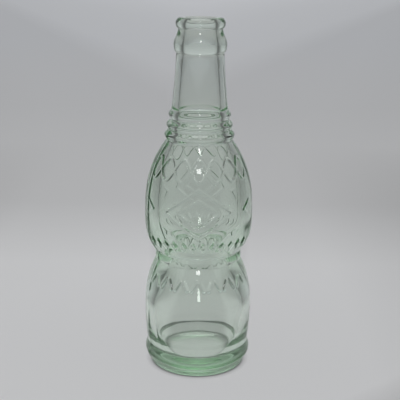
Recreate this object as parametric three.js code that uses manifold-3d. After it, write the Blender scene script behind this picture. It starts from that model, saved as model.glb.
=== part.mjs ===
// A one-piece soda bottle of pale green blown glass, with a crown finish, an open mouth and no closure.
// Millimetres, +Z up. The origin is the centre of the circle on which the bottle stands.
import * as THREE from 'three';
import { mergeVertices } from 'three/addons/utils/BufferGeometryUtils.js';
import Module from 'manifold-3d';

// Driving dimensions: foot and base
const footRadius = 27.2;
const footHeight = 2.7;
const footEdgeRadius = 1.6;
const bearingWidth = 6.5;
const pushUpHeight = 0.8;
const baseThickness = 7;
const floorCornerRadius = 2.1;
const heelInnerRadius = 20.6;

// Driving dimensions: heel ring
const heelRingRadius = 29.9;
const heelRingHeight = 9.9;

// Driving dimensions: lower bulb, from the heel ring up to the waist
const lowerBulbFootRadius = 28.7;
const lowerBulbRadius = 30.1;
const lowerBellyRise = 20.2;
const lowerShoulderRise = 29.5;
const lowerBulbTopRadius = 23.7;
const lowerBulbWall = 5.4;

// Driving dimensions: waist ring
const waistRingRadius = 24.1;
const waistRingHeight = 5.1;
const waistWall = 7.8;

// Driving dimensions: upper bulb, from the waist up to the ring stack
const upperBulbFootRadius = 23.5;
const upperBulbRadius = 30;
const upperBellyRise = 19.6;
const upperShoulderRise = 43;
const upperBulbWall = 6.9;

// Driving dimensions: ring stack at the foot of the neck
const ringCount = 3;
const ringPitch = 5.5;
const topRingRadius = 17.1;
const ringStep = 1.1;
const ringDepth = 1.5;
const ringStackWall = 4.4;

// Driving dimensions: neck
const neckFootRadius = 15.3;
const neckRadius = 13.05;
const neckLength = 29.2;
const neckFootWall = 3.85;
const neckWall = 4.05;

// Driving dimensions: collar under the lip, and the crease between it and the neck
const creaseRise = 0.8;
const creaseDepth = 0.45;
const collarRadius = 14.3;
const collarRise = 4.5;
const collarWall = 5.15;
const collarTaper = 8.4;

// Driving dimensions: lip and bore
const boreRadius = 8.2;
const boreLength = 7.5;
const boreEdgeRadius = 1.2;
const sealWidth = 1.4;
const lipWall = 5.1;
const lipOverhang = 1.35;
const lipRise = 2.7;
const lipCrown = 2.9;

// Driving dimensions: raised ornament, which stands on two panels, in front and behind
const reliefHeight = 0.6;
const reliefHalfWidth = 0.85;
const reliefRoot = 0.8;
const panelHalfAngle = THREE.MathUtils.degToRad(64);
const braidRise = 30;
const braidWaves = 9;
const braidSwing = 5.6;
const diamondRise = 8;
const diamondCount = 4;
const diamondHalfWidth = 19;
const diamondHalfHeight = 13;
const diamondInset = 0.58;
const lozengeRise = 8.6;
const lozengeCount = 34;
const lozengeHalfWidth = 1.8;
const lozengeHalfHeight = 3;
const strokeRise = 20.7;
const strokeCount = 38;
const strokeHalfLength = 3;
const strokeTilt = THREE.MathUtils.degToRad(28);

// How full a bulged stretch of wall is: 2 is a parabola, more keeps its width for longer
const lowerFootFullness = 1.8;
const bowlFullness = 2.55;
const lowerShoulderFullness = 2.6;
const upperFootFullness = 2.7;
const upperShoulderFullness = 2.7;
const neckHollow = 1.4;

// Facets round the axis, and steps along each kind of stretch
const facets = 32;
const bulgeSteps = 6;
const ringSteps = 4;
const gentleSteps = 4;
const edgeSteps = 3;
const waveSteps = 6;
const sideSteps = 3;

// Levels, worked out from the foot upwards
const floorLevel = pushUpHeight + baseThickness;
const lowerFootLevel = footHeight + heelRingHeight;
const lowerBellyLevel = lowerFootLevel + lowerBellyRise;
const waistLevel = lowerBellyLevel + lowerShoulderRise;
const waistMidLevel = waistLevel + waistRingHeight / 2;
const upperFootLevel = waistLevel + waistRingHeight;
const upperBellyLevel = upperFootLevel + upperBellyRise;
const ringStackLevel = upperBellyLevel + upperShoulderRise;
const neckFootLevel = ringStackLevel + ringCount * ringPitch;
const neckTopLevel = neckFootLevel + neckLength;
const collarLevel = neckTopLevel + creaseRise;
const collarBulgeLevel = collarLevel + collarRise;
const grooveLevel = collarBulgeLevel + collarTaper;
const lipLevel = grooveLevel + lipRise;
const topLevel = lipLevel + lipCrown;

// Radii that follow from the driving ones
const bearingRadius = footRadius - footEdgeRadius;
const lowestRingRadius = topRingRadius + (ringCount - 1) * ringStep;
const shoulderTopRadius = lowestRingRadius - ringDepth;
const lipRadius = boreRadius + lipWall;
const grooveRadius = lipRadius - lipOverhang;
const sealInnerRadius = boreRadius + boreEdgeRadius;
const sealOuterRadius = sealInnerRadius + sealWidth;

// Radii of the inner wall
const lowerInnerRadius = lowerBulbRadius - lowerBulbWall;
const waistInnerRadius = upperBulbFootRadius - waistWall;
const upperInnerRadius = upperBulbRadius - upperBulbWall;
const ringStackInnerRadius = shoulderTopRadius - ringStackWall;
const neckFootInnerRadius = neckFootRadius - neckFootWall;
const neckInnerRadius = neckRadius - neckWall;
const collarInnerRadius = collarRadius - collarWall;

/** Points from one (radius, level) pair to another, leaving out the first. */
function stretch(from, to, steps, radiusAt, levelAt = (t) => t) {
  const points = [];
  for (let i = 1; i <= steps; i += 1) {
    const t = i / steps;
    const radius = from[0] + (to[0] - from[0]) * radiusAt(t);
    const level = from[1] + (to[1] - from[1]) * levelAt(t);
    points.push(new THREE.Vector2(radius, level));
  }
  return points;
}

/** A wall that swells towards its belly, where it runs upright. */
function toBelly(from, to, fullness, steps = bulgeSteps) {
  return stretch(from, to, steps, (t) => 1 - (1 - t) ** fullness);
}

/** A wall that draws in from its belly, where it runs upright. */
function fromBelly(from, to, fullness, steps = bulgeSteps) {
  return stretch(from, to, steps, (t) => t ** fullness);
}

/** A wall that runs upright at both ends. */
function eased(from, to) {
  return stretch(from, to, gentleSteps, (t) => (1 - Math.cos(Math.PI * t)) / 2);
}

/** A quarter of an ellipse that leaves level and arrives upright. */
function quarterOut(from, to, steps = edgeSteps) {
  const turn = (t) => (t * Math.PI) / 2;
  return stretch(from, to, steps, (t) => Math.sin(turn(t)), (t) => 1 - Math.cos(turn(t)));
}

/** A quarter of an ellipse that leaves upright and arrives level. */
function quarterIn(from, to, steps = edgeSteps) {
  const turn = (t) => (t * Math.PI) / 2;
  return stretch(from, to, steps, (t) => 1 - Math.cos(turn(t)), (t) => Math.sin(turn(t)));
}

/** A rounded ring between two grooves, standing out to its own radius. */
function ringBead(from, to, radius) {
  const points = [];
  for (let i = 1; i <= ringSteps; i += 1) {
    const t = i / ringSteps;
    const wall = THREE.MathUtils.lerp(from[0], to[0], t);
    const middle = (from[0] + to[0]) / 2;
    const bulge = (radius - middle) * Math.sin(Math.PI * t);
    points.push(new THREE.Vector2(wall + bulge, THREE.MathUtils.lerp(from[1], to[1], t)));
  }
  return points;
}

/** The stack of rings, each smaller than the one below it. */
function ringStack() {
  const points = [];
  let groove = [shoulderTopRadius, ringStackLevel];
  for (let ring = 0; ring < ringCount; ring += 1) {
    const radius = lowestRingRadius - ring * ringStep;
    const last = ring === ringCount - 1;
    const nextRadius = last ? neckFootRadius : radius - ringStep - ringDepth;
    const next = [nextRadius, ringStackLevel + (ring + 1) * ringPitch];
    points.push(...ringBead(groove, next, radius));
    groove = next;
  }
  return points;
}

/** The hollow under the base and the flat circle that the bottle stands on. */
function base() {
  const bearingInner = [bearingRadius - bearingWidth, 0];
  return [
    new THREE.Vector2(0, pushUpHeight),
    ...stretch([0, pushUpHeight], bearingInner, edgeSteps, (t) => t, (t) => t ** 2),
    new THREE.Vector2(bearingRadius, 0),
    ...quarterOut([bearingRadius, 0], [footRadius, footEdgeRadius]),
  ];
}

/** The outside of the bottle from the foot to the groove under the lip. */
function outerWall() {
  const foot = [footRadius, footHeight];
  const lowerFoot = [lowerBulbFootRadius, lowerFootLevel];
  const lowerBelly = [lowerBulbRadius, lowerBellyLevel];
  const lowerTop = [lowerBulbTopRadius, waistLevel];
  const upperFoot = [upperBulbFootRadius, upperFootLevel];
  const upperBelly = [upperBulbRadius, upperBellyLevel];
  const upperTop = [shoulderTopRadius, ringStackLevel];
  const neckFoot = [neckFootRadius, neckFootLevel];
  const neckTop = [neckRadius, neckTopLevel];
  const crease = [neckRadius - creaseDepth, collarLevel];
  const collar = [collarRadius, collarBulgeLevel];
  return [
    new THREE.Vector2(...foot),
    ...ringBead(foot, lowerFoot, heelRingRadius),
    ...toBelly(lowerFoot, lowerBelly, lowerFootFullness),
    ...fromBelly(lowerBelly, lowerTop, lowerShoulderFullness),
    ...ringBead(lowerTop, upperFoot, waistRingRadius),
    ...toBelly(upperFoot, upperBelly, upperFootFullness),
    ...fromBelly(upperBelly, upperTop, upperShoulderFullness),
    ...ringStack(),
    ...toBelly(neckFoot, neckTop, neckHollow, gentleSteps),
    new THREE.Vector2(...crease),
    ...quarterOut(crease, collar),
    ...eased(collar, [grooveRadius, grooveLevel]),
  ];
}

/** The rounded lip, its flat sealing circle and the edge of the bore. */
function lip() {
  return [
    ...quarterOut([grooveRadius, grooveLevel], [lipRadius, lipLevel]),
    ...quarterIn([lipRadius, lipLevel], [sealOuterRadius, topLevel]),
    new THREE.Vector2(sealInnerRadius, topLevel),
    ...quarterOut([sealInnerRadius, topLevel], [boreRadius, topLevel - boreEdgeRadius]),
  ];
}

/** The inside of the bottle, from the bore down to the middle of the floor. */
function innerWall() {
  const bore = [boreRadius, topLevel - boreLength];
  const collar = [collarInnerRadius, collarBulgeLevel];
  const neckTop = [neckInnerRadius, neckTopLevel];
  const neckFoot = [neckFootInnerRadius, neckFootLevel];
  const stackFoot = [ringStackInnerRadius, ringStackLevel];
  const upperBelly = [upperInnerRadius, upperBellyLevel];
  const waist = [waistInnerRadius, waistMidLevel];
  const lowerBelly = [lowerInnerRadius, lowerBellyLevel];
  const heel = [heelInnerRadius, floorLevel + floorCornerRadius];
  const floorEdge = [heelInnerRadius - floorCornerRadius, floorLevel];
  return [
    new THREE.Vector2(...bore),
    ...eased(bore, collar),
    ...eased(collar, neckTop),
    new THREE.Vector2(...neckFoot),
    new THREE.Vector2(...stackFoot),
    ...toBelly(stackFoot, upperBelly, upperShoulderFullness),
    ...eased(upperBelly, waist),
    ...eased(waist, lowerBelly),
    ...fromBelly(lowerBelly, heel, bowlFullness),
    ...quarterIn(heel, floorEdge),
    new THREE.Vector2(0, floorLevel),
  ];
}

// The outside's outline, which carries the ornament
const wall = outerWall();

/** The point at a height over the outside, which may be below it, and the outward direction there. */
function overWall(angle, level, height) {
  const next = Math.max(1, wall.findIndex((point) => point.y > level));
  const [low, high] = [wall[next - 1], wall[next]];
  const radius = THREE.MathUtils.mapLinear(level, low.y, high.y, low.x, high.x);
  const slant = new THREE.Vector2(high.y - low.y, low.x - high.x).normalize();
  const away = new THREE.Vector3(slant.x * Math.cos(angle), slant.x * Math.sin(angle), slant.y);
  const point = new THREE.Vector3(radius * Math.cos(angle), radius * Math.sin(angle), level);
  return { point: point.addScaledVector(away, height), away, radius };
}

/** Closed body with the given corners and triangles. */
function body(corners, triangles) {
  const geometry = new THREE.BufferGeometry().setFromPoints(corners);
  geometry.setIndex(triangles);
  return geometry;
}

/** A raised line of triangular section along (angle, level) places on the outside. */
function ridge(places) {
  const spread = (reliefHalfWidth * (reliefHeight + reliefRoot)) / reliefHeight;
  const corners = [];
  const triangles = [];
  places.forEach(([angle, level], i) => {
    const before = overWall(...places[Math.max(i - 1, 0)], 0).point;
    const after = overWall(...places[Math.min(i + 1, places.length - 1)], 0).point;
    const root = overWall(angle, level, -reliefRoot);
    const aside = after.sub(before).cross(root.away).setLength(spread);
    corners.push(root.point.clone().add(aside), overWall(angle, level, reliefHeight).point);
    corners.push(root.point.clone().sub(aside));
  });
  for (let at = 0; at < corners.length - 3; at += 3) {
    for (let side = 0; side < 3; side += 1) {
      const here = at + side;
      const beside = at + ((side + 1) % 3);
      triangles.push(here, here + 3, beside, beside, here + 3, beside + 3);
    }
  }
  const last = corners.length - 3;
  triangles.push(0, 1, 2, last, last + 2, last + 1);
  return body(corners, triangles);
}

/** A small raised lozenge, as a pyramid. */
function lozenge(angle, level) {
  const grown = (reliefHeight + reliefRoot) / reliefHeight;
  const turn = (grown * lozengeHalfWidth) / overWall(angle, level, 0).radius;
  const rise = grown * lozengeHalfHeight;
  const root = (aside, up) => overWall(angle, level, -reliefRoot).point
    .applyAxisAngle(new THREE.Vector3(0, 0, 1), aside).add(new THREE.Vector3(0, 0, up));
  const corners = [root(turn, 0), root(0, rise), root(-turn, 0), root(0, -rise)];
  corners.push(overWall(angle, level, reliefHeight).point);
  return body(corners, [0, 1, 4, 1, 2, 4, 2, 3, 4, 3, 0, 4, 0, 3, 1, 1, 3, 2]);
}

/** Whether an angle lies on one of the two panels. */
function onPanel(angle) {
  const turn = THREE.MathUtils.euclideanModulo(angle, Math.PI);
  return Math.abs(turn - Math.PI / 2) <= panelHalfAngle;
}

/** The stretches of a path that lie on the panels, as ridges. */
function ridgesOnPanels(places) {
  const stretches = [[]];
  for (const place of places) {
    if (onPanel(place[0])) stretches.at(-1).push(place);
    else if (stretches.at(-1).length > 0) stretches.push([]);
  }
  return stretches.filter((places) => places.length > 1).map(ridge);
}

/** Evenly set motifs, as many as lie on the panels, each made from its angle and its number. */
function motifsOnPanels(count, make) {
  const motifs = [];
  for (let i = 0; i < count; i += 1) {
    const angle = (2 * Math.PI * i) / count;
    if (onPanel(angle)) motifs.push(make(angle, i));
  }
  return motifs;
}

/** The two crossing strands on the shoulder. */
function braid() {
  const middle = upperBellyLevel + braidRise;
  const steps = Math.round(braidWaves * waveSteps);
  return [braidSwing, -braidSwing].flatMap((swing) => {
    const places = Array.from({ length: steps }, (_, i) => {
      const angle = (2 * Math.PI * i) / steps;
      return [angle, middle + swing * Math.sin(braidWaves * angle)];
    });
    return ridgesOnPanels(places);
  });
}

/** The outlined diamonds round the belly, one in another. */
function diamonds() {
  const middle = upperBellyLevel + diamondRise;
  const ridges = [];
  for (let i = 0; i < diamondCount; i += 1) {
    const turn = (2 * Math.PI * i) / diamondCount - Math.PI / 2;
    for (const size of [1, diamondInset]) {
      const halfAngle = (size * diamondHalfWidth) / upperBulbRadius;
      const halfHeight = size * diamondHalfHeight;
      for (const [across, up] of [[1, 1], [1, -1], [-1, 1], [-1, -1]]) {
        const places = Array.from({ length: sideSteps + 1 }, (_, k) => {
          const share = k / sideSteps;
          return [turn + across * halfAngle * share, middle + up * halfHeight * (1 - share)];
        });
        ridges.push(...ridgesOnPanels(places));
      }
    }
  }
  return ridges;
}

/** The belt of lozenges low on the upper bulb. */
function lozenges() {
  return motifsOnPanels(lozengeCount, (angle) => lozenge(angle, upperFootLevel + lozengeRise));
}

/** The band of strokes on the lower bulb, which lean by turns to either side. */
function strokes() {
  const middle = lowerBellyLevel + strokeRise;
  const rise = strokeHalfLength * Math.cos(strokeTilt);
  return motifsOnPanels(strokeCount, (angle, number) => {
    const lean = number % 2 === 0 ? 1 : -1;
    const turn = (lean * strokeHalfLength * Math.sin(strokeTilt)) / overWall(angle, middle, 0).radius;
    return ridge([[angle - turn, middle - rise], [angle + turn, middle + rise]]);
  });
}

// The library that joins solids
const wasm = await Module();
wasm.setup();

/** A closed geometry as a solid that others can be joined to. */
function solid(geometry) {
  geometry.deleteAttribute('normal');
  geometry.deleteAttribute('uv');
  const merged = mergeVertices(geometry);
  const vertProperties = new Float32Array(merged.attributes.position.array);
  const triVerts = new Uint32Array(merged.index.array);
  return new wasm.Manifold(new wasm.Mesh({ numProp: 3, vertProperties, triVerts }));
}

/** The glass turned about its axis, as one closed body with its ornament. */
function glassGeometry() {
  const outline = [...base(), ...wall, ...lip(), ...innerWall()];
  const turned = new THREE.LatheGeometry(outline, facets).rotateX(Math.PI / 2);
  const motifs = [...braid(), ...diamonds(), ...lozenges(), ...strokes()];
  const joined = motifs.reduce((glass, motif) => glass.add(solid(motif)), solid(turned)).getMesh();
  const geometry = new THREE.BufferGeometry();
  geometry.setAttribute('position', new THREE.BufferAttribute(joined.vertProperties, 3));
  geometry.setIndex(new THREE.BufferAttribute(joined.triVerts, 1));
  geometry.computeVertexNormals();
  return geometry;
}

/** The bottle: one piece of glass. */
function glassBottle() {
  const glass = new THREE.MeshStandardMaterial({
    color: 0xc4d8c8,
    roughness: 0.06,
    metalness: 0,
    transparent: true,
    opacity: 0.45,
  });
  const bottle = new THREE.Mesh(glassGeometry(), glass);
  bottle.name = 'glass_bottle';
  return bottle;
}

const sodaBottle = new THREE.Group();
sodaBottle.name = 'soda_bottle';
sodaBottle.add(glassBottle());

export default sodaBottle;
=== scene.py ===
"""Looks of a soda bottle: one blown body of pale green glass, empty and open, on a plain pale floor."""

import functools
import logging
import math
from dataclasses import dataclass, field
from enum import Enum
from typing import Callable

import bpy
import numpy as np
from mathutils import Euler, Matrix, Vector


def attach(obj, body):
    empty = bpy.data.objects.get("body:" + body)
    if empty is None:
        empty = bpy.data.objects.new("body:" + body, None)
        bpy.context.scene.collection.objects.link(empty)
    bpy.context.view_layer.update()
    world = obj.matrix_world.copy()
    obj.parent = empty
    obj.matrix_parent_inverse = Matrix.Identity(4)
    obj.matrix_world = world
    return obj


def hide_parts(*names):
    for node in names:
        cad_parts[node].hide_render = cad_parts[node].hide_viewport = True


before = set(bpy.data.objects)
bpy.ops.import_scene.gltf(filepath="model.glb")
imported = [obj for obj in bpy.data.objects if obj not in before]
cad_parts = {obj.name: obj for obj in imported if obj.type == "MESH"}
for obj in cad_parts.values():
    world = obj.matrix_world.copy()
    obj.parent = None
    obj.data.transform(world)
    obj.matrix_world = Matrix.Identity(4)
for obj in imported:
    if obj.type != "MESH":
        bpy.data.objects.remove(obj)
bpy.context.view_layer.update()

MM = 0.001
TURN = 2 * math.pi
# Angle round the axis of the side that faces the viewer
FRONT = -math.pi / 2
# Points drawn for one stretch of an outline
STEPS = 40
# Distance between the close-set points of a rounded outline
GRAIN = 0.1 * MM
# Share of a bend that sets a point midway between its neighbours
MIDWAY = 0.5
# Where a colour mix keeps its two colours and their blend among its sockets
MIX_COLOURS = slice(6, 8)
MIX_RESULT = 2
BODY = "root"
CAD_NODE = "glass_bottle"

Point = tuple[float, float]
Outline = list[Point]
Rule = Callable[[np.ndarray], np.ndarray]
Limits = tuple[float, float]
Tones = tuple[tuple[float, float], ...]
Place = tuple[float, float, float]
Colour = tuple[float, float, float, float]
Socket = bpy.types.NodeSocket
Shade = Socket | Colour

log = logging.getLogger("soda_bottle")


class Side(Enum):
    """The two faces of the glass wall."""

    OUTER = "outer"
    INNER = "inner"


class LampShape(Enum):
    """Outlines of the studio lamps, by Blender's own words."""

    SQUARE = "SQUARE"
    PANEL = "RECTANGLE"


def even(share: np.ndarray) -> np.ndarray:
    """A share that grows evenly."""
    return share


def soft_step(share: np.ndarray) -> np.ndarray:
    """Holds a share between 0 and 1 and lets it begin and end softly."""
    held = np.clip(share, 0, 1)
    return held * held * (3 - 2 * held)


def stretch(start: Point, end: Point, radius_share: Rule, level_share: Rule = even) -> Outline:
    """Draws one stretch of an outline.

    Args:
        start: Radius and level where the stretch begins; it isn't repeated in the result.
        end: Radius and level where it ends.
        radius_share: How much of the change in radius is made, from 0 to 1 along the stretch.
        level_share: How much of the change in level is made.

    Returns:
        The points after the start, the end included.
    """
    way = np.arange(1, STEPS + 1) / STEPS
    radii = start[0] + (end[0] - start[0]) * radius_share(way)
    levels = start[1] + (end[1] - start[1]) * level_share(way)
    return list(zip(radii.tolist(), levels.tolist()))


def swell(start: Point, end: Point, fullness: float) -> Outline:
    """Draws a wall that swells towards a belly, where it runs upright."""
    return stretch(start, end, lambda way: 1 - (1 - way) ** fullness)


def draw_in(start: Point, end: Point, fullness: float) -> Outline:
    """Draws a wall that draws in from a belly, where it runs upright."""
    return stretch(start, end, lambda way: way**fullness)


def ease(start: Point, end: Point) -> Outline:
    """Draws a wall that runs upright at both ends."""
    return stretch(start, end, lambda way: (1 - np.cos(np.pi * way)) / 2)


def quarter_out(start: Point, end: Point) -> Outline:
    """Draws a quarter of an ellipse that leaves level and arrives upright."""
    return stretch(
        start, end, lambda way: np.sin(way * np.pi / 2), lambda way: 1 - np.cos(way * np.pi / 2)
    )


def quarter_in(start: Point, end: Point) -> Outline:
    """Draws a quarter of an ellipse that leaves upright and arrives level."""
    return stretch(
        start, end, lambda way: 1 - np.cos(way * np.pi / 2), lambda way: np.sin(way * np.pi / 2)
    )


def bead(start: Point, end: Point, radius: float) -> Outline:
    """Draws a rounded ring between two grooves.

    Args:
        start: Radius and level of the lower groove.
        end: Radius and level of the upper groove.
        radius: How far the ring stands out from the axis.

    Returns:
        The points after the start, the end included.
    """
    way = np.arange(1, STEPS + 1) / STEPS
    middle = (start[0] + end[0]) / 2
    radii = start[0] + (end[0] - start[0]) * way + (radius - middle) * np.sin(np.pi * way)
    levels = start[1] + (end[1] - start[1]) * way
    return list(zip(radii.tolist(), levels.tolist()))


def lengths_along(points: np.ndarray) -> np.ndarray:
    """Gives each point's distance from the first, along the outline."""
    return np.concatenate([[0.0], np.cumsum(np.hypot(*np.diff(points, axis=0).T))])


def picked(points: np.ndarray, along: np.ndarray, places: np.ndarray) -> np.ndarray:
    """Picks points of an outline at given places along it."""
    return np.column_stack([np.interp(places, along, points[:, axis]) for axis in (0, 1)])


def softened(outline: Outline, rounding: Rule) -> np.ndarray:
    """Rounds the corners of an outline, as moulded glass has them, and keeps its two ends.

    Args:
        outline: The drawn points.
        rounding: Gives, for levels, over what length the outline is evened out there.

    Returns:
        Close-set points of the rounded outline.
    """
    points = np.array(outline)
    along = lengths_along(points)
    fine = picked(points, along, np.linspace(0, along[-1], int(along[-1] / GRAIN)))
    wanted = rounding(fine[:, 1])
    most = wanted.max()
    share = MIDWAY * (wanted[1:-1, None] / most) ** 2
    for _ in range(int((most / GRAIN) ** 2)):
        fine[1:-1] += share * (fine[:-2] - 2 * fine[1:-1] + fine[2:])
    return fine


def spaced(points: np.ndarray, longest: Rule, turn: float) -> np.ndarray:
    """Picks rows of an outline, close-set where it turns.

    Args:
        points: Close-set points of the outline.
        longest: Gives, for levels, the longest step allowed there.
        turn: By what angle the outline may turn from row to row.

    Returns:
        The rows, the two ends included.
    """
    run = np.diff(points, axis=0)
    heading = np.unwrap(np.arctan2(run[:, 1], run[:, 0]))
    turning = np.abs(np.diff(heading, prepend=heading[0]))
    cost = np.hypot(*run.T) / longest(points[1:, 1]) + turning / turn
    along = np.concatenate([[0.0], np.cumsum(cost)])
    return picked(points, along, np.linspace(0, along[-1], int(along[-1]) + 2))


def zipped(low: int, low_count: int, high: int, high_count: int) -> list[tuple[int, ...]]:
    """Joins two rings of points by triangles, also where one has more points than the other.

    Args:
        low: Number of the first ring's first point.
        low_count: Points in the first ring.
        high: Number of the second ring's first point.
        high_count: Points in the second ring.

    Returns:
        The triangles.
    """
    faces: list[tuple[int, ...]] = []
    i = 0
    j = 0
    while i < low_count or j < high_count:
        here = low + i % low_count
        there = high + j % high_count
        if i < low_count and (i + 1) * high_count <= (j + 1) * low_count:
            i += 1
            faces.append((here, low + i % low_count, there))
        else:
            j += 1
            faces.append((here, high + j % high_count, there))
    return faces


def joined(low: tuple[int, int], high: tuple[int, int]) -> list[tuple[int, ...]]:
    """Joins two neighbouring rings of points, or a ring and a pole.

    Args:
        low: Number of the first ring's first point, and how many points it has.
        high: The same for the second ring.

    Returns:
        The faces between them.
    """
    count = low[1]
    if count != high[1]:
        return zipped(*low, *high)
    return [
        (low[0] + i, low[0] + (i + 1) % count, high[0] + (i + 1) % count, high[0] + i)
        for i in range(count)
    ]


@dataclass(frozen=True)
class Foot:
    """The foot, the hollow under it and the floor inside."""

    radius: float = 27.2 * MM
    height: float = 2.7 * MM
    edge: float = 1.6 * MM
    bearing_width: float = 6.5 * MM
    push_up: float = 0.8 * MM
    thickness: float = 7.0 * MM
    heel_inner_radius: float = 20.6 * MM
    floor_corner: float = 2.1 * MM

    @property
    def floor_level(self) -> float:
        """Level of the floor inside."""
        return self.push_up + self.thickness

    @property
    def heel(self) -> Point:
        """Radius and level where the inside begins to round in to the floor."""
        return (self.heel_inner_radius, self.floor_level + self.floor_corner)

    def inner(self) -> Outline:
        """Draws the inside below the heel, down to the axis."""
        floor_edge = (self.heel_inner_radius - self.floor_corner, self.floor_level)
        return quarter_in(self.heel, floor_edge) + [(0.0, self.floor_level)]

    def outer(self) -> Outline:
        """Draws the outside.

        Returns:
            The points from the axis under the base to the top of the foot.
        """
        bearing = self.radius - self.edge
        hollow = (bearing - self.bearing_width, 0.0)
        points = [(0.0, self.push_up)]
        points += stretch((0.0, self.push_up), hollow, even, lambda way: way**2)
        points.append((bearing, 0.0))
        points += quarter_out((bearing, 0.0), (self.radius, self.edge))
        points.append((self.radius, self.height))
        return points


@dataclass(frozen=True)
class Ring:
    """One raised ring of glass."""

    radius: float
    height: float


@dataclass(frozen=True)
class Bulb:
    """One of the two swelling chambers."""

    foot_radius: float
    belly_radius: float
    top_radius: float
    belly_rise: float
    shoulder_rise: float
    foot_fullness: float
    shoulder_fullness: float
    wall: float

    @property
    def height(self) -> float:
        """Height of the whole bulb."""
        return self.belly_rise + self.shoulder_rise

    def outer(self, level: float) -> Outline:
        """Draws the outside.

        Args:
            level: Level of the bulb's foot.

        Returns:
            The points above that foot.
        """
        foot = (self.foot_radius, level)
        belly = (self.belly_radius, level + self.belly_rise)
        top = (self.top_radius, level + self.height)
        return swell(foot, belly, self.foot_fullness) + draw_in(belly, top, self.shoulder_fullness)


@dataclass(frozen=True)
class RingStack:
    """The rings at the foot of the neck, each smaller than the one below."""

    count: int = 3
    pitch: float = 5.5 * MM
    top_radius: float = 17.1 * MM
    step: float = 1.1 * MM
    depth: float = 1.5 * MM
    wall: float = 4.4 * MM

    @property
    def height(self) -> float:
        """Height of the whole stack."""
        return self.count * self.pitch

    @property
    def lowest_radius(self) -> float:
        """Radius of the widest ring."""
        return self.top_radius + (self.count - 1) * self.step

    @property
    def foot_radius(self) -> float:
        """Radius of the groove under the lowest ring."""
        return self.lowest_radius - self.depth

    def outer(self, level: float, neck_radius: float) -> Outline:
        """Draws the rings.

        Args:
            level: Level of the groove under the lowest ring.
            neck_radius: Radius of the neck above the stack.

        Returns:
            The points above that groove.
        """
        points: Outline = []
        groove = (self.foot_radius, level)
        for ring in range(self.count):
            radius = self.lowest_radius - ring * self.step
            last = ring == self.count - 1
            next_radius = neck_radius if last else radius - self.step - self.depth
            next_groove = (next_radius, level + (ring + 1) * self.pitch)
            points += bead(groove, next_groove, radius)
            groove = next_groove
        return points


@dataclass(frozen=True)
class Neck:
    """The tapering neck, the collar under the lip and the crease between them."""

    foot_radius: float = 15.3 * MM
    radius: float = 13.05 * MM
    length: float = 29.2 * MM
    hollow: float = 1.4
    foot_wall: float = 3.85 * MM
    wall: float = 4.05 * MM
    crease_rise: float = 0.8 * MM
    crease_depth: float = 0.45 * MM
    collar_radius: float = 14.3 * MM
    collar_rise: float = 4.5 * MM
    collar_wall: float = 5.15 * MM
    collar_taper: float = 8.4 * MM

    @property
    def height(self) -> float:
        """Height from the ring stack to the groove under the lip."""
        return self.length + self.crease_rise + self.collar_rise + self.collar_taper

    def outer(self, level: float, groove_radius: float) -> Outline:
        """Draws the neck and the collar.

        Args:
            level: Level of the neck's foot.
            groove_radius: Radius of the groove under the lip.

        Returns:
            The points above the neck's foot.
        """
        top = (self.radius, level + self.length)
        crease = (self.radius - self.crease_depth, top[1] + self.crease_rise)
        collar = (self.collar_radius, crease[1] + self.collar_rise)
        groove = (groove_radius, collar[1] + self.collar_taper)
        points = swell((self.foot_radius, level), top, self.hollow) + [crease]
        return points + quarter_out(crease, collar) + ease(collar, groove)

    def inner(self, level: float, bore_end: Point) -> Outline:
        """Draws the inside.

        Args:
            level: Level of the neck's foot.
            bore_end: Radius and level where the bore ends.

        Returns:
            The points below the bore, down to the neck's foot.
        """
        top_level = level + self.length
        collar = (self.collar_radius - self.collar_wall, top_level + self.crease_rise + self.collar_rise)
        top = (self.radius - self.wall, top_level)
        foot = (self.foot_radius - self.foot_wall, level)
        return ease(bore_end, collar) + ease(collar, top) + [foot]


@dataclass(frozen=True)
class Lip:
    """The crown finish: a rounded lip, its flat sealing circle and the bore."""

    bore: float = 8.2 * MM
    bore_length: float = 7.5 * MM
    bore_edge: float = 1.2 * MM
    seal_width: float = 1.4 * MM
    wall: float = 5.1 * MM
    overhang: float = 1.35 * MM
    rise: float = 2.7 * MM
    crown: float = 2.9 * MM

    @property
    def height(self) -> float:
        """Height above the groove under the lip."""
        return self.rise + self.crown

    @property
    def radius(self) -> float:
        """The lip's own radius."""
        return self.bore + self.wall

    @property
    def groove_radius(self) -> float:
        """Radius of the groove under the lip."""
        return self.radius - self.overhang

    @property
    def seal_middle(self) -> float:
        """Radius of the middle of the sealing circle."""
        return self.bore + self.bore_edge + self.seal_width / 2

    def outer(self, level: float) -> Outline:
        """Draws the outside.

        Args:
            level: Level of the groove under the lip.

        Returns:
            The points above that groove, up to the middle of the sealing circle.
        """
        widest = (self.radius, level + self.rise)
        seal = (self.seal_middle + self.seal_width / 2, level + self.height)
        points = quarter_out((self.groove_radius, level), widest) + quarter_in(widest, seal)
        return points + [(self.seal_middle, level + self.height)]

    def inner(self, top: float) -> Outline:
        """Draws the edge of the bore.

        Args:
            top: Level of the sealing circle.

        Returns:
            The points from the middle of that circle down to the bore's end.
        """
        seal = (self.seal_middle - self.seal_width / 2, top)
        points = [(self.seal_middle, top), seal]
        points += quarter_out(seal, (self.bore, top - self.bore_edge))
        return points + [(self.bore, top - self.bore_length)]


@dataclass(frozen=True)
class Wall:
    """Places on one face of the glass: angles in columns, levels and radii in rows."""

    angle: np.ndarray
    level: np.ndarray
    radius: np.ndarray

    def aside(self, count: int, first: float = 0.0) -> np.ndarray:
        """Gives signed distances round the bottle from the nearest of some evenly set places."""
        pitch = TURN / count
        return ((self.angle - first + pitch / 2) % pitch - pitch / 2) * self.radius


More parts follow.
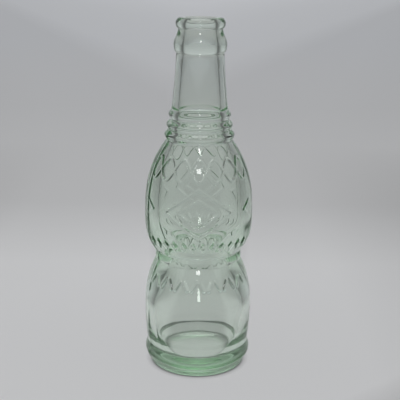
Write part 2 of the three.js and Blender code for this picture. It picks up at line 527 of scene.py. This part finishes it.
@dataclass(frozen=True)
class Relief:
    """A raised ornament in the mould: a braid, diamonds, lozenges and strokes on the two bulbs."""

    height: float = 0.6 * MM
    edge: float = 0.8 * MM
    line: float = 0.9 * MM
    panel_half_angle: float = math.radians(64)
    panel_fade: float = math.radians(14)

    braid_waves: int = 9
    braid_level: float = 117.0 * MM
    braid_swing: float = 5.6 * MM

    diamond_count: int = 4
    diamond_level: float = 95.0 * MM
    diamond_half_width: float = 19.0 * MM
    diamond_half_height: float = 13.0 * MM
    diamond_inset: float = 0.58

    lozenge_count: int = 34
    lozenge_level: float = 76.0 * MM
    lozenge_half_width: float = 1.8 * MM
    lozenge_half_height: float = 3.0 * MM
    lozenge_slant: float = 0.8

    stroke_count: int = 38
    stroke_level: float = 53.5 * MM
    stroke_half_length: float = 2.3 * MM
    stroke_tilt: float = math.radians(28)

    def raised(self, outside: np.ndarray) -> np.ndarray:
        """Turns distances outside a motif into heights, with a soft edge."""
        return self.height * soft_step(0.5 - outside / self.edge)

    def strand(self, wall: Wall, swing: float) -> np.ndarray:
        """Draws one waving raised line round the shoulder.

        Args:
            wall: Places on the outside.
            swing: How far the line waves to each side.

        Returns:
            Its heights there.
        """
        turn = self.braid_waves * wall.angle
        slope = swing * self.braid_waves / wall.radius * np.cos(turn)
        rise = wall.level - self.braid_level
        away = np.abs(rise - swing * np.sin(turn)) / np.sqrt(1 + slope**2)
        return self.raised(away - self.line / 2)

    def braid(self, wall: Wall) -> np.ndarray:
        """Gives the heights of the two crossing strands on the shoulder."""
        return np.maximum(self.strand(wall, self.braid_swing), self.strand(wall, -self.braid_swing))

    def diamonds(self, wall: Wall) -> np.ndarray:
        """Draws the outlined diamonds on the belly, one in another.

        Args:
            wall: Places on the outside.

        Returns:
            Their heights there.
        """
        across = np.abs(wall.aside(self.diamond_count, FRONT)) / self.diamond_half_width
        up = np.abs(wall.level - self.diamond_level) / self.diamond_half_height
        reach = math.hypot(1 / self.diamond_half_width, 1 / self.diamond_half_height)
        outlines = [np.abs(across + up - size) / reach for size in (1.0, self.diamond_inset)]
        return self.raised(np.minimum(*outlines) - self.line / 2)

    def lozenges(self, wall: Wall) -> np.ndarray:
        """Draws the belt of lozenges low on the upper bulb.

        Args:
            wall: Places on the outside.

        Returns:
            Their heights there.
        """
        across = np.abs(wall.aside(self.lozenge_count)) / self.lozenge_half_width
        up = np.abs(wall.level - self.lozenge_level) / self.lozenge_half_height
        return self.raised((across + up - 1) * self.lozenge_half_width * self.lozenge_slant)

    def strokes(self, wall: Wall) -> np.ndarray:
        """Draws the band of strokes on the lower bulb, which lean by turns to either side.

        Args:
            wall: Places on the outside.

        Returns:
            Their heights there.
        """
        number = np.round(wall.angle * self.stroke_count / TURN)
        lean = 1 - 2 * (number % 2)
        across = lean * wall.aside(self.stroke_count)
        up = wall.level - self.stroke_level
        along = across * math.sin(self.stroke_tilt) + up * math.cos(self.stroke_tilt)
        beside = across * math.cos(self.stroke_tilt) - up * math.sin(self.stroke_tilt)
        past = np.maximum(np.abs(along) - self.stroke_half_length, 0)
        return self.raised(np.hypot(beside, past) - self.line)

    def heights(self, wall: Wall) -> np.ndarray:
        """Draws the whole ornament, which fades out towards the bottle's two sides.

        Args:
            wall: Places on the outside.

        Returns:
            Its heights there.
        """
        bands = (self.braid, self.diamonds, self.lozenges, self.strokes)
        from_panel = np.abs(wall.angle % math.pi - math.pi / 2)
        panel = soft_step((self.panel_half_angle - from_panel) / self.panel_fade + 0.5)
        return panel * np.maximum.reduce([band(wall) for band in bands])


@dataclass(frozen=True)
class Unevenness:
    """What blowing leaves in the glass: a hollow that is off-centre and fluted, and two mould seams."""

    hollow_shift: float = 0.4 * MM
    flute_depth: float = 0.04 * MM
    outer_depth: float = 0.012 * MM
    flutes: int = 10
    flute_counts: tuple[int, int] = (3, 15)
    flute_lengths: Limits = (60 * MM, 190 * MM)
    flute_change: float = 0.5
    seed: int = 41
    even_below: float = 22 * MM
    even_above: float = 142 * MM
    seam_top: float = 150 * MM
    fade: float = 20 * MM
    seam_count: int = 2
    seam_turn: float = math.radians(23)
    seam_height: float = 0.4 * MM
    seam_half_width: float = 1.0 * MM
    neck_share: float = 0.3
    neck_top: float = 173 * MM

    def share(self, level: np.ndarray) -> np.ndarray:
        """Says how much of the unevenness shows: none by the floor and none in the neck.

        Args:
            level: Levels of the places asked for.

        Returns:
            Shares from 0 to 1.
        """
        rising = np.clip((level - self.even_below) / self.fade, 0, 1)
        falling = np.clip((self.even_above - level) / self.fade, 0, 1)
        return rising * falling

    def flutings(self, side: Side, wall: Wall) -> np.ndarray:
        """Draws slow upright waves over one face of the glass.

        Args:
            side: Which face.
            wall: Places on it.

        Returns:
            Distances by which the face stands out there.
        """
        depth = self.flute_depth if side is Side.INNER else self.outer_depth
        draw = np.random.default_rng(self.seed + (side is Side.INNER))
        total = np.zeros(np.broadcast_shapes(wall.angle.shape, wall.level.shape))
        for _ in range(self.flutes):
            around = draw.integers(*self.flute_counts)
            length = draw.uniform(*self.flute_lengths)
            phase = draw.uniform(0, TURN, 3)
            rise = TURN * wall.level / length
            wave = np.sin(around * wall.angle + phase[0] + np.sin(rise + phase[1]))
            total += wave * (1 + self.flute_change * np.sin(rise + phase[2]))
        return depth * self.share(wall.level) * total / math.sqrt(self.flutes)

    def seams(self, wall: Wall) -> np.ndarray:
        """Draws the two mould seams, on opposite sides, which are fainter on the neck.

        Args:
            wall: Places on the outside.

        Returns:
            Their heights there.
        """
        across = wall.aside(self.seam_count, self.seam_turn)
        ridge = self.seam_height * np.exp(-((across / self.seam_half_width) ** 2))
        share = np.clip((self.seam_top - wall.level) / self.fade, self.neck_share, 1)
        return ridge * share * (wall.level < self.neck_top)


@dataclass(frozen=True)
class NodeSums:
    """Adds nodes that work out numbers and colours to a material or to the room."""

    owner: bpy.types.Material | bpy.types.World

    def node(self, kind: str) -> bpy.types.Node:
        """Adds one node of Blender's given kind."""
        return self.owner.node_tree.nodes.new(kind)

    def feed(self, target: Socket, source: Shade | float) -> None:
        """Links a socket to another one, or sets it to a number or a colour.

        Args:
            target: The socket that takes the value.
            source: Where the value comes from, or the value itself.
        """
        if isinstance(source, Socket):
            self.owner.node_tree.links.new(source, target)
        else:
            target.default_value = source

    def coordinates(self, kind: str) -> tuple[Socket, bpy.types.Node]:
        """Adds coordinates.

        Args:
            kind: Blender's word for them.

        Returns:
            Their socket, and the node that gives their three parts.
        """
        place = self.node("ShaderNodeTexCoord").outputs[kind]
        parts = self.node("ShaderNodeSeparateXYZ")
        self.feed(parts.inputs["Vector"], place)
        return place, parts

    def noise(self, place: Socket, scale: float, detail: float) -> Socket:
        """Adds an even noise.

        Args:
            place: Socket of the coordinates.
            scale: How close-set the noise is.
            detail: How much finer noise lies in it.

        Returns:
            The socket of the noise.
        """
        node = self.node("ShaderNodeTexNoise")
        self.feed(node.inputs["Scale"], scale)
        self.feed(node.inputs["Detail"], detail)
        self.feed(node.inputs["Vector"], place)
        return node.outputs["Fac"]

    def sum_of(self, operation: str, *numbers: Socket | float) -> Socket:
        """Adds one sum.

        Args:
            operation: Blender's word for the sum.
            numbers: The numbers that go into it, or their sockets.

        Returns:
            The socket of the result.
        """
        node = self.node("ShaderNodeMath")
        node.operation = operation
        for target, number in zip(node.inputs, numbers):
            self.feed(target, number)
        return node.outputs[0]

    def all_of(self, operation: str, *numbers: Socket) -> Socket:
        """Takes up any count of numbers into one, by the same sum each time."""
        return functools.reduce(lambda total, number: self.sum_of(operation, total, number), numbers)

    def past(self, width: Socket, depth: Socket, spread: float) -> Socket:
        """Adds how far a width lies outside a line that spreads with the depth."""
        return self.sum_of("SUBTRACT", width, self.sum_of("MULTIPLY", depth, spread))

    def share_of(self, value: Socket, limits: Limits) -> Socket:
        """Adds a share that grows from 0 to 1 between two limits of a number.

        Args:
            value: Socket of the number.
            limits: Where the share begins and ends to grow.

        Returns:
            The socket of the share.
        """
        node = self.node("ShaderNodeMapRange")
        self.feed(node.inputs["Value"], value)
        for name, limit in zip(("From Min", "From Max"), limits):
            self.feed(node.inputs[name], limit)
        return node.outputs["Result"]

    def blended(self, value: Socket, limits: Limits, colours: tuple[Shade, Shade]) -> Socket:
        """Adds a blend of two colours along a stretch of a number.

        Args:
            value: Socket of the number.
            limits: Where the blend begins and ends.
            colours: The two colours, or their sockets.

        Returns:
            The socket of the blend.
        """
        mix = self.node("ShaderNodeMix")
        mix.data_type = "RGBA"
        self.feed(mix.inputs["Factor"], self.share_of(value, limits))
        for target, colour in zip(mix.inputs[MIX_COLOURS], colours):
            self.feed(target, colour)
        return mix.outputs[MIX_RESULT]

    def toned(self, value: Socket, tones: Tones) -> Socket:
        """Adds a soft run of tones.

        Args:
            value: Socket of the number that the tone follows.
            tones: Numbers from 0 upwards, each with its tone.

        Returns:
            The socket of the tone.
        """
        last = tones[-1][0]
        node = self.node("ShaderNodeValToRGB")
        ramp = node.color_ramp
        ramp.interpolation = "LINEAR"
        while len(ramp.elements) < len(tones):
            ramp.elements.new(1.0)
        for element, (number, tone) in zip(ramp.elements, tones):
            element.position = number / last
            element.color = (tone, tone, tone, 1.0)
        self.feed(node.inputs["Fac"], self.sum_of("DIVIDE", value, last))
        return node.outputs["Color"]


@dataclass(frozen=True)
class GlassFinish:
    """Clear pale green bottle glass, fire-polished, with a little wear where bottles rub together."""

    name: str = "pale_green_glass"
    colour: Colour = (0.99, 1.0, 0.99, 1.0)
    ior: float = 1.52
    roughness: float = 0.012
    worn_roughness: float = 0.16
    absorbed: Colour = (0.865, 0.95, 0.875, 1.0)
    density: float = 77.0
    ripple_scale: float = 130.0
    ripple_detail: float = 2.0
    ripple_depth: float = 0.012 * MM
    wear_scale: float = 420.0
    wear_detail: float = 6.0
    wear_patches: Limits = (0.56, 0.72)

    def material(self, worn_levels: tuple[float, ...], worn_reach: float) -> bpy.types.Material:
        """Makes the material.

        Args:
            worn_levels: Levels of the bands where bottles rub together.
            worn_reach: Half the height of such a band.

        Returns:
            The node material.
        """
        material = bpy.data.materials.new(self.name)
        material.use_nodes = True
        material.node_tree.nodes.clear()
        sums = NodeSums(material)
        output = sums.node("ShaderNodeOutputMaterial")
        glass = sums.node("ShaderNodeBsdfPrincipled")
        glass.inputs["Base Color"].default_value = self.colour
        glass.inputs["IOR"].default_value = self.ior
        glass.inputs["Transmission Weight"].default_value = 1.0
        sums.feed(output.inputs["Surface"], glass.outputs["BSDF"])

        tint = sums.node("ShaderNodeVolumeAbsorption")
        tint.inputs["Color"].default_value = self.absorbed
        tint.inputs["Density"].default_value = self.density
        sums.feed(output.inputs["Volume"], tint.outputs["Volume"])

        place, parts = sums.coordinates("Object")
        bump = sums.node("ShaderNodeBump")
        bump.inputs["Distance"].default_value = self.ripple_depth
        sums.feed(bump.inputs["Height"], sums.noise(place, self.ripple_scale, self.ripple_detail))
        sums.feed(glass.inputs["Normal"], bump.outputs["Normal"])

        height = parts.outputs["Z"]
        bands = [sums.sum_of("COMPARE", height, level, worn_reach) for level in worn_levels]
        scuffs = sums.share_of(sums.noise(place, self.wear_scale, self.wear_detail), self.wear_patches)
        wear = sums.node("ShaderNodeMapRange")
        wear.inputs["To Min"].default_value = self.roughness
        wear.inputs["To Max"].default_value = self.worn_roughness
        sums.feed(wear.inputs["Value"], sums.sum_of("MULTIPLY", sums.all_of("MAXIMUM", *bands), scuffs))
        sums.feed(glass.inputs["Roughness"], wear.outputs["Result"])
        return material


@dataclass
class GlassBottle:
    """The bottle itself: one closed wall of glass, drawn as an outline and turned about its axis."""

    foot: Foot = field(default_factory=Foot)
    heel_ring: Ring = Ring(radius=29.9 * MM, height=9.9 * MM)
    lower: Bulb = Bulb(
        foot_radius=28.7 * MM,
        belly_radius=30.1 * MM,
        top_radius=23.7 * MM,
        belly_rise=20.2 * MM,
        shoulder_rise=29.5 * MM,
        foot_fullness=1.8,
        shoulder_fullness=2.6,
        wall=5.4 * MM,
    )
    waist_ring: Ring = Ring(radius=24.1 * MM, height=5.1 * MM)
    waist_wall: float = 7.8 * MM
    bowl_fullness: float = 2.55
    stack: RingStack = field(default_factory=RingStack)
    neck: Neck = field(default_factory=Neck)
    lip: Lip = field(default_factory=Lip)
    relief: Relief = field(default_factory=Relief)
    unevenness: Unevenness = field(default_factory=Unevenness)
    finish: GlassFinish = field(default_factory=GlassFinish)

    columns: int = 128
    relief_columns: int = 448
    relief_foot: float = 46.0 * MM
    relief_top: float = 127.0 * MM
    relief_step: float = 0.6 * MM
    plain_step: float = 2.5 * MM
    turn: float = math.radians(12)
    crease_rounding: float = 0.3 * MM
    stack_rounding: float = 0.8 * MM
    stack_fade: float = 4.0 * MM
    hollow_rounding: float = 1.6 * MM
    floor_rounding: float = 0.8 * MM
    floor_reach: float = 8.0 * MM
    worn_reach: float = 2.0 * MM

    def __post_init__(self) -> None:
        """Works out the upper bulb and the levels of the parts, from the foot upwards."""
        self.upper = Bulb(
            foot_radius=23.5 * MM,
            belly_radius=30.0 * MM,
            top_radius=self.stack.foot_radius,
            belly_rise=19.6 * MM,
            shoulder_rise=43.0 * MM,
            foot_fullness=2.7,
            shoulder_fullness=2.7,
            wall=6.9 * MM,
        )
        self.lower_level = self.foot.height + self.heel_ring.height
        self.waist_level = self.lower_level + self.lower.height
        self.upper_level = self.waist_level + self.waist_ring.height
        self.stack_level = self.upper_level + self.upper.height
        self.neck_level = self.stack_level + self.stack.height
        self.lip_level = self.neck_level + self.neck.height
        self.top = self.lip_level + self.lip.height

    def outer_outline(self) -> np.ndarray:
        """Draws the outside.

        Returns:
            Close-set points from the axis under the base to the sealing circle.
        """
        foot_top = (self.foot.radius, self.foot.height)
        lower_foot = (self.lower.foot_radius, self.lower_level)
        lower_top = (self.lower.top_radius, self.waist_level)
        upper_foot = (self.upper.foot_radius, self.upper_level)
        points = self.foot.outer()
        points += bead(foot_top, lower_foot, self.heel_ring.radius)
        points += self.lower.outer(self.lower_level)
        points += bead(lower_top, upper_foot, self.waist_ring.radius)
        points += self.upper.outer(self.upper_level)
        points += self.stack.outer(self.stack_level, self.neck.foot_radius)
        points += self.neck.outer(self.neck_level, self.lip.groove_radius)
        points += self.lip.outer(self.lip_level)
        return softened(points, self.outer_rounding)

    def outer_rounding(self, level: np.ndarray) -> np.ndarray:
        """Gives the rounding of the outside, which is softest at the ring stack.

        Args:
            level: Levels of the places asked for.

        Returns:
            Lengths over which the outline is evened out there.
        """
        away = np.maximum(self.stack_level - level, level - self.neck_level)
        share = np.clip(away / self.stack_fade, 0, 1)
        return self.stack_rounding + (self.crease_rounding - self.stack_rounding) * share

    def outer_step(self, level: np.ndarray) -> np.ndarray:
        """Gives the longest step between rows of the outside."""
        in_relief = (level > self.relief_foot) & (level < self.relief_top)
        return np.where(in_relief, self.relief_step, self.plain_step)

    def inner_outline(self) -> np.ndarray:
        """Draws the inside.

        Returns:
            Close-set points from the sealing circle down to the axis over the floor.
        """
        bore_end = (self.lip.bore, self.top - self.lip.bore_length)
        stack_foot = (self.stack.foot_radius - self.stack.wall, self.stack_level)
        upper_belly = (self.upper.belly_radius - self.upper.wall, self.upper_level + self.upper.belly_rise)
        waist = (self.upper.foot_radius - self.waist_wall, self.waist_level + self.waist_ring.height / 2)
        lower_belly = (self.lower.belly_radius - self.lower.wall, self.lower_level + self.lower.belly_rise)
        edge = softened(self.lip.inner(self.top), lambda level: np.full(level.shape, self.crease_rounding))
        points = [bore_end] + self.neck.inner(self.neck_level, bore_end) + [stack_foot]
        points += swell(stack_foot, upper_belly, self.upper.shoulder_fullness)
        points += ease(upper_belly, waist) + ease(waist, lower_belly)
        points += draw_in(lower_belly, self.foot.heel, self.bowl_fullness) + self.foot.inner()
        return np.vstack([edge, softened(points, self.inner_rounding)[1:]])

    def inner_rounding(self, level: np.ndarray) -> np.ndarray:
        """Gives the rounding of the inside, which is tighter by the floor."""
        share = np.clip((level - self.foot.floor_level) / self.floor_reach, 0, 1)
        return self.floor_rounding + (self.hollow_rounding - self.floor_rounding) * share

    def inner_step(self, level: np.ndarray) -> np.ndarray:
        """Gives the longest step between rows of the inside, which is the same all over."""
        return np.full(level.shape, self.plain_step)

    def wall_points(self, outline: np.ndarray, side: Side, columns: int) -> np.ndarray:
        """Turns an outline about the axis and raises what stands out of that face.

        Args:
            outline: Radius and level of each row.
            side: Which face of the wall it is.
            columns: Points in each row.

        Returns:
            The points, as rows by columns by three.
        """
        angle = np.arange(columns)[None, :] * TURN / columns
        wall = Wall(angle, level=outline[:, 1:], radius=outline[:, :1])
        run = np.gradient(outline, axis=0)
        run /= np.linalg.norm(run, axis=1, keepdims=True)
        raised = self.unevenness.flutings(side, wall)
        shift = 0.0
        if side is Side.OUTER:
            raised = raised + self.relief.heights(wall)
            raised = raised + self.unevenness.seams(wall) * (wall.level > self.foot.height)
        else:
            shift = self.unevenness.hollow_shift * self.unevenness.share(wall.level)
        radii = wall.radius + raised * run[:, 1:]
        levels = wall.level - raised * run[:, :1]
        return np.stack([shift + radii * np.cos(angle), radii * np.sin(angle), levels], axis=-1)

    def zones(self) -> list[np.ndarray]:
        """Draws both faces of the wall.

        Returns:
            The points zone by zone: foot, ornament, neck and inside.
        """
        outer = spaced(self.outer_outline(), self.outer_step, self.turn)[1:]
        inner = spaced(self.inner_outline(), self.inner_step, self.turn)[1:-1]
        low = int(np.argmax(outer[:, 1] > self.relief_foot))
        high = int(np.argmax(outer[:, 1] > self.relief_top))
        return [
            self.wall_points(outer[:low], Side.OUTER, self.columns),
            self.wall_points(outer[low:high], Side.OUTER, self.relief_columns),
            self.wall_points(outer[high:], Side.OUTER, self.columns),
            self.wall_points(inner, Side.INNER, self.columns),
        ]

    def build(self) -> bpy.types.Object:
        """Makes the closed mesh of the glass, smooth all over.

        Returns:
            The bottle, still bare of its finish.
        """
        points: list[tuple[float, float, float]] = [(0.0, 0.0, self.foot.push_up)]
        faces: list[tuple[int, ...]] = []
        before = (0, 1)
        for zone in self.zones():
            for row in zone:
                ring = (len(points), len(row))
                points += [tuple(point) for point in row.tolist()]
                faces += joined(before, ring)
                before = ring
        points.append((0.0, 0.0, self.foot.floor_level))
        faces += joined(before, (len(points) - 1, 1))
        mesh = bpy.data.meshes.new("glass_wall")
        mesh.from_pydata(points, [], faces)
        mesh.polygons.foreach_set("use_smooth", np.ones(len(mesh.polygons), bool))
        mesh.validate()
        bottle = bpy.data.objects.new("glass_body", mesh)
        bpy.context.scene.collection.objects.link(bottle)
        return bottle

    def dress(self, bottle: bpy.types.Object) -> None:
        """Gives the glass its finish and sets it in the frame.

        Args:
            bottle: The bottle's mesh object.
        """
        worn = (
            self.foot.height + self.heel_ring.height / 2,
            self.lower_level + self.lower.belly_rise,
            self.upper_level + self.upper.belly_rise,
        )
        bottle.data.materials.append(self.finish.material(worn, self.worn_reach))
        bottle.visible_shadow = False
        bottle.visible_diffuse = False
        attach(bottle, BODY)
        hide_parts(CAD_NODE)


@dataclass(frozen=True)
class Lamp:
    """One studio lamp."""

    name: str
    place: Place
    aim: Place
    size: tuple[float, float]
    power: float
    shape: LampShape = LampShape.PANEL

    def build(self) -> bpy.types.Object:
        """Makes the lamp and turns it towards its aim.

        Returns:
            The lamp.
        """
        data = bpy.data.lights.new(self.name, "AREA")
        data.shape = self.shape.value
        data.size, data.size_y = self.size
        data.energy = self.power
        lamp = bpy.data.objects.new(self.name, data)
        lamp.location = self.place
        towards = Vector(self.aim) - Vector(self.place)
        lamp.rotation_euler = towards.to_track_quat("-Z", "Y").to_euler()
        bpy.context.scene.collection.objects.link(lamp)
        return lamp


@dataclass(frozen=True)
class Studio:
    """A wide pale floor under soft light, whose paper carries painted shade that dims it at its far sides
    and in front.
    """

    floor_radius: float = 8.0
    floor_rings: int = 24
    floor_columns: int = 96
    floor_gap: float = 0.1 * MM
    paper_roughness: float = 0.85

    # The paper's tint at two depths behind the bottle
    tint_depths: Limits = (0.4, 2.0)
    near_tint: Colour = (0.992, 1.0, 1.008, 1.0)
    far_tint: Colour = (0.974, 0.998, 1.036, 1.0)

    # Its painted light and shade by depth, counted from a place in front of the bottle
    front_depth: float = 0.5
    dip_depth: float = 0.9
    far_narrowing: float = 3.0
    painted_depth_falloff: Tones = (
        (0.0, 0.45), (0.32, 0.47), (0.4, 0.58), (0.44, 0.78), (0.66, 0.8),
        (0.83, 0.65), (1.4, 0.605), (1.8, 0.675), (2.9, 0.7), (4.7, 0.775),
    )

    # Its painted shade towards the sides, near the bottle and far behind it
    side_depths: Limits = (0.3, 0.6)
    aside_shift: float = 0.03
    painted_near_side_shade: Tones = ((0.0, 1.0), (0.13, 0.97), (0.2, 0.85), (0.3, 0.66), (0.5, 0.55), (1.0, 0.5))
    far_spread: float = 0.25
    painted_far_side_shade: Tones = ((0.0, 1.0), (0.2, 0.95), (0.35, 0.87), (0.6, 0.83), (1.0, 0.81), (3.0, 0.8))
    flank_spread: float = 1.25
    painted_flank_shade_tones: Tones = ((0.0, 1.0), (0.17, 1.0), (0.25, 0.56), (0.4, 0.36))

    # The painted soft shadow behind the bottle, across and along, and the painted contact shadow of darker
    # paper round its foot
    shade_spread: float = 0.065
    painted_shadow_across: Tones = ((0.0, 0.3), (0.018, 0.3), (0.028, 0.0))
    painted_shadow_along: Tones = ((0.0, 0.0), (0.024, 1.0), (0.04, 1.0), (0.055, 0.5), (0.25, 0.45), (0.5, 0.0))
    # Painted contact shadow: darker paper in a ring round the foot
    painted_contact_shadow: Tones = (
        (0.0, 0.9), (0.016, 0.88), (0.0195, 0.42), (0.0258, 0.16),
        (0.0266, 0.36), (0.0276, 0.76), (0.03, 0.96), (0.15, 1.0),
    )

    # The room's lights, and between which heights or depths of a direction each turns into the next
    front_light: Colour = (0.13, 0.13, 0.133, 1.0)
    side_light: Colour = (0.2, 0.202, 0.206, 1.0)
    horizon_light: Colour = (0.446, 0.456, 0.472, 1.0)
    glow_light: Colour = (0.575, 0.588, 0.61, 1.0)
    back_light: Colour = (0.42, 0.424, 0.432, 1.0)
    front_top_light: Colour = (0.3, 0.3, 0.303, 1.0)
    back_top_light: Colour = (0.4, 0.4, 0.405, 1.0)
    zenith_light: Colour = (2.54, 2.54, 2.554, 1.0)
    glow_heights: Limits = (0.0, 0.19)
    back_heights: Limits = (0.2, 0.34)
    behind_depths: Limits = (0.63, 0.93)
    front_depths: Limits = (0.5, 0.63)
    top_depths: Limits = (-0.3, 0.3)
    top_heights: Limits = (0.5, 0.75)
    zenith_heights: Limits = (0.88, 0.95)

    lamps: tuple[Lamp, ...] = (
        Lamp("front_panel", (0.0, -1.265, 0.906), (0.0, 0.0, 0.1), (0.24, 0.15), 1.3),
        Lamp("high_lamp", (0.0, -0.84, 1.34), (0.0, 0.0, 0.1), (0.08, 0.08), 0.3, LampShape.SQUARE),
    )
    glass_bounces: int = 24
    glossy_bounces: int = 12

    def floor(self) -> bpy.types.Object:
        """Makes the floor, a wide disc whose rings grow outwards.

        Returns:
            The floor.
        """
        count = self.floor_columns
        angle = np.arange(count) * TURN / count
        ways = np.column_stack([np.cos(angle), np.sin(angle), np.zeros(count)])
        radii = self.floor_radius * (np.arange(1, self.floor_rings + 1) / self.floor_rings) ** 2
        points = [(0.0, 0.0, 0.0)]
        for radius in radii.tolist():
            points += [tuple(point) for point in (radius * ways).tolist()]
        faces = [(0, 1 + i, 1 + (i + 1) % count) for i in range(count)]
        for ring in range(self.floor_rings - 1):
            low = 1 + ring * count
            faces += joined((low + count, count), (low, count))
        mesh = bpy.data.meshes.new("studio_floor")
        mesh.from_pydata(points, [], faces)
        floor = bpy.data.objects.new("studio_floor", mesh)
        floor.location.z = -self.floor_gap
        bpy.context.scene.collection.objects.link(floor)
        mesh.materials.append(self.paper())
        return floor

    def paper(self) -> bpy.types.Material:
        """Makes the floor's plain matt paper, whose tone carries painted light and shade: a pool of light
        that changes softly with depth and dims towards the sides, a shadow behind the bottle and a contact
        shadow round its foot.

        Returns:
            The node material.
        """
        material = bpy.data.materials.new("pale_paper_painted_light")
        material.use_nodes = True
        paper = material.node_tree.nodes["Principled BSDF"]
        paper.inputs["Roughness"].default_value = self.paper_roughness
        sums = NodeSums(material)
        place, parts = sums.coordinates("Object")
        depth = parts.outputs["Y"]
        from_middle = sums.sum_of("ABSOLUTE", parts.outputs["X"])
        aside = sums.sum_of("ABSOLUTE", sums.sum_of("ADD", parts.outputs["X"], self.aside_shift))
        from_axis = sums.node("ShaderNodeVectorMath")
        from_axis.operation = "LENGTH"
        sums.feed(from_axis.inputs["Vector"], place)
        # Painted light and shade in the paper's tone: falloff with depth and to the sides, a shadow behind
        # the bottle and a contact shadow round the foot
        tone = sums.all_of(
            "MULTIPLY",
            self.painted_falloff_tone(sums, aside, depth),
            self.left_by_painted_shadow(sums, from_middle, depth),
            sums.toned(from_axis.outputs["Value"], self.painted_contact_shadow),
        )
        colour = sums.node("ShaderNodeVectorMath")
        colour.operation = "SCALE"
        tint = sums.blended(depth, self.tint_depths, (self.near_tint, self.far_tint))
        sums.feed(colour.inputs["Vector"], tint)
        sums.feed(colour.inputs["Scale"], tone)
        sums.feed(paper.inputs["Base Color"], colour.outputs["Vector"])
        return material

    def painted_falloff_tone(self, sums: NodeSums, aside: Socket, depth: Socket) -> Socket:
        """Adds the painted light and shade of the open floor, whose painted far glow narrows towards the
        sides.

        Args:
            sums: The paper's nodes.
            aside: Socket of the distance to the side.
            depth: Socket of the distance behind the bottle.

        Returns:
            The socket of the tone.
        """
        painted_far_glow = sums.past(depth, aside, self.far_narrowing)
        dip = sums.sum_of("MINIMUM", depth, self.dip_depth)
        reached = sums.sum_of("MAXIMUM", painted_far_glow, dip)
        # Painted light: the tone by depth, dim in front and brighter behind the bottle
        painted_depth_light = sums.toned(sums.sum_of("ADD", reached, self.front_depth), self.painted_depth_falloff)
        # Painted shade towards the sides, near the bottle, far behind it and at the flanks
        near = sums.toned(aside, self.painted_near_side_shade)
        far = sums.toned(sums.past(aside, depth, self.far_spread), self.painted_far_side_shade)
        painted_side_shade = sums.blended(depth, self.side_depths, (near, far))
        painted_flank_darkening = sums.toned(sums.past(aside, depth, self.flank_spread), self.painted_flank_shade_tones)
        return sums.all_of("MULTIPLY", painted_depth_light, painted_side_shade, painted_flank_darkening)

    def left_by_painted_shadow(self, sums: NodeSums, from_middle: Socket, depth: Socket) -> Socket:
        """Adds the share of the tone that the painted shadow behind the bottle leaves.

        Args:
            sums: The paper's nodes.
            from_middle: Socket of the distance from the middle line.
            depth: Socket of the distance behind the bottle.

        Returns:
            The socket of the share.
        """
        # Painted shadow behind the bottle, across its width and along its depth
        across = sums.toned(sums.past(from_middle, depth, self.shade_spread), self.painted_shadow_across)
        along = sums.toned(depth, self.painted_shadow_along)
        return sums.sum_of("SUBTRACT", 1.0, sums.sum_of("MULTIPLY", across, along))

    def surroundings(self) -> None:
        """Makes the soft light of the room: bright overhead, fair behind and dim in front."""
        world = bpy.data.worlds.new("soft_room")
        bpy.context.scene.world = world
        world.use_nodes = True
        sums = NodeSums(world)
        _, parts = sums.coordinates("Generated")
        height = parts.outputs["Z"]
        depth = parts.outputs["Y"]
        glow = sums.blended(height, self.glow_heights, (self.horizon_light, self.glow_light))
        back = sums.blended(height, self.back_heights, (glow, self.back_light))
        behind = sums.blended(depth, self.behind_depths, (self.side_light, back))
        low = sums.blended(depth, self.front_depths, (self.front_light, behind))
        high = sums.blended(depth, self.top_depths, (self.front_top_light, self.back_top_light))
        open_room = sums.blended(height, self.top_heights, (low, high))
        whole = sums.blended(height, self.zenith_heights, (open_room, self.zenith_light))
        sums.feed(world.node_tree.nodes["Background"].inputs["Color"], whole)

    def build(self) -> None:
        """Makes the floor, the room's light and the lamps, and lets light pass through deep glass."""
        self.floor()
        self.surroundings()
        for lamp in self.lamps:
            lamp.build()
        scene = bpy.context.scene
        scene.view_settings.view_transform = "Standard"
        scene.cycles.max_bounces = self.glass_bounces
        scene.cycles.transmission_bounces = self.glass_bounces
        scene.cycles.glossy_bounces = self.glossy_bounces


@dataclass(frozen=True)
class PhotoCamera:
    """The camera at the photograph's place, with sizes in metres and radians."""

    distance: float = 0.4603
    height: float = 0.2235
    aside: float = 0.0007
    pitch: float = math.radians(15.6)
    roll: float = math.radians(0.64)
    focal_pixels: float = 856.0
    frame_pixels: float = 400.0
    sensor_mm: float = 36.0
    clip: Limits = (0.01, 40.0)

    def build(self) -> bpy.types.Object:
        """Makes the camera and sets it as the scene's own.

        Returns:
            The camera.
        """
        data = bpy.data.cameras.new("photo_camera")
        data.sensor_width = self.sensor_mm
        data.lens = self.sensor_mm * self.focal_pixels / self.frame_pixels
        data.clip_start, data.clip_end = self.clip
        camera = bpy.data.objects.new("photo_camera", data)
        camera.location = (self.aside, -self.distance, self.height)
        look = Euler((math.pi / 2 - self.pitch, 0.0, 0.0)).to_quaternion()
        twist = Euler((0.0, 0.0, self.roll)).to_quaternion()
        camera.rotation_mode = "QUATERNION"
        camera.rotation_quaternion = look @ twist
        bpy.context.scene.collection.objects.link(camera)
        bpy.context.scene.camera = camera
        return camera


def main() -> None:
    """Builds the bottle, the studio and the camera in order."""
    logging.basicConfig(level=logging.INFO, format="%(name)s: %(message)s")
    PhotoCamera().build()
    log.info("camera set")
    bottle = GlassBottle()
    glass = bottle.build()
    bottle.dress(glass)
    log.info("%s: %d faces, %.1f mm high", glass.name, len(glass.data.polygons), bottle.top / MM)
    Studio().build()
    log.info("studio set")


if __name__ == "__main__":
    main()
